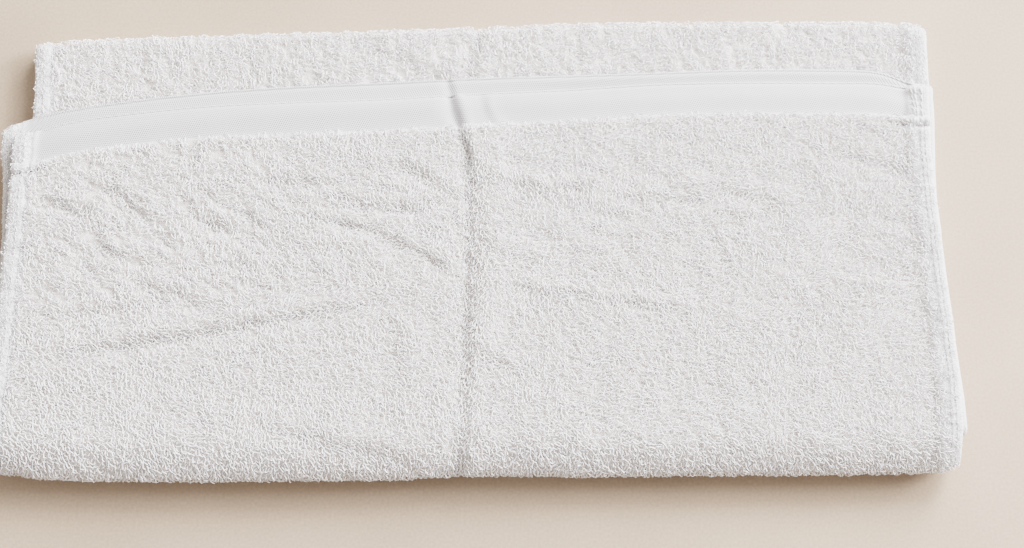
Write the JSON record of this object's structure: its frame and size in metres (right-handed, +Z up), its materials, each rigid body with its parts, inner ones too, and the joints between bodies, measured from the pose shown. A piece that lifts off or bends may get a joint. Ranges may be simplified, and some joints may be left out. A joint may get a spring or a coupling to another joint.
{
  "type": "folded face towel",
  "caption": "White terry face towel folded flat in four layers, with flat-woven end bands, side hems and a middle crease.",
  "frame": {"origin": "middle of the footprint's bounding box, on the surface the towel rests on", "axes": "+X along the folds, to the right as the open ends face away; +Y towards the back fold; +Z up"},
  "size_m": [0.5176, 0.2632, 0.0239],
  "materials": {
    "terry": "matte looped cotton pile"
  },
  "bodies": {
    "root": {"towel": "terry"}
  },
  "joints": []
}
